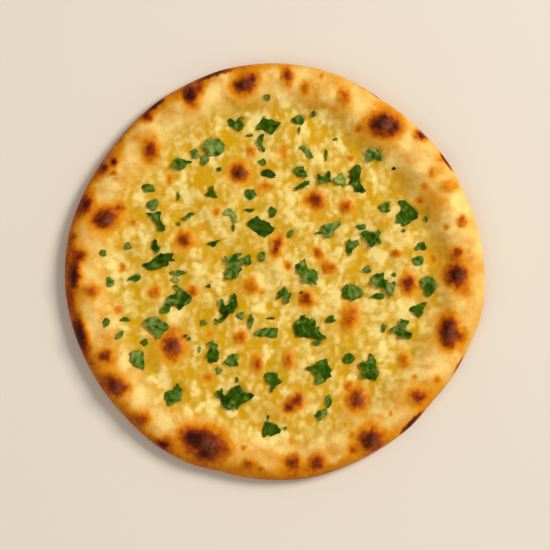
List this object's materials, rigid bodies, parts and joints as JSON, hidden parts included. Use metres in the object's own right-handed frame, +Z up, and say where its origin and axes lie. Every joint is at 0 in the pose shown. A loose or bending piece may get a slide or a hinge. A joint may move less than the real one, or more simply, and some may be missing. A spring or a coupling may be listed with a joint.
{
  "type": "naan bread",
  "caption": "Round garlic-butter naan with a puffed, blistered rim, browned spots and chopped herb leaves on top.",
  "frame": {"origin": "middle of the flat underside, on the surface that the bread rests on", "axes": "+Z up through the bread's thickness, +X to the right and +Y to the far side as it is served"},
  "size_m": [0.2342, 0.2342, 0.0168],
  "materials": {
    "baked_naan": "satin",
    "chopped_herb": "satin"
  },
  "bodies": {
    "root": {"naan_bread": "baked_naan", "herb_fork_01": "chopped_herb", "herb_curl_01": "chopped_herb", "herb_shred_01": "chopped_herb", "herb_fan_01": "chopped_herb", "herb_bit_01": "chopped_herb", "herb_fan_02": "chopped_herb", "herb_bit_02": "chopped_herb", "herb_shred_02": "chopped_herb", "herb_fan_03": "chopped_herb", "herb_bit_03": "chopped_herb", "herb_bit_04": "chopped_herb", "herb_shred_03": "chopped_herb", "herb_bit_05": "chopped_herb", "herb_wedge_01": "chopped_herb", "herb_bit_06": "chopped_herb", "herb_shred_04": "chopped_herb", "herb_bit_07": "chopped_herb", "herb_curl_02": "chopped_herb", "herb_fan_04": "chopped_herb", "herb_fan_05": "chopped_herb", "herb_fan_06": "chopped_herb", "herb_bit_08": "chopped_herb", "herb_curl_03": "chopped_herb", "herb_bit_09": "chopped_herb", "herb_fan_07": "chopped_herb", "herb_curl_04": "chopped_herb", "herb_fan_08": "chopped_herb", "herb_shred_05": "chopped_herb", "herb_curl_05": "chopped_herb", "herb_bit_10": "chopped_herb", "herb_bit_11": "chopped_herb", "herb_curl_06": "chopped_herb", "herb_curl_07": "chopped_herb", "herb_wedge_02": "chopped_herb", "herb_bit_12": "chopped_herb", "herb_curl_08": "chopped_herb", "herb_curl_09": "chopped_herb", "herb_curl_10": "chopped_herb", "herb_shred_06": "chopped_herb", "herb_wedge_03": "chopped_herb", "herb_fan_09": "chopped_herb", "herb_wedge_04": "chopped_herb", "herb_curl_11": "chopped_herb", "herb_wedge_05": "chopped_herb", "herb_wedge_06": "chopped_herb", "herb_curl_12": "chopped_herb", "herb_curl_13": "chopped_herb", "herb_bit_13": "chopped_herb", "herb_wedge_07": "chopped_herb", "herb_shred_07": "chopped_herb", "herb_bit_14": "chopped_herb", "herb_fan_10": "chopped_herb", "herb_curl_14": "chopped_herb", "herb_fan_11": "chopped_herb", "herb_fork_02": "chopped_herb", "herb_curl_15": "chopped_herb", "herb_wedge_08": "chopped_herb", "herb_shred_08": "chopped_herb", "herb_bit_15": "chopped_herb"}
  },
  "joints": []
}
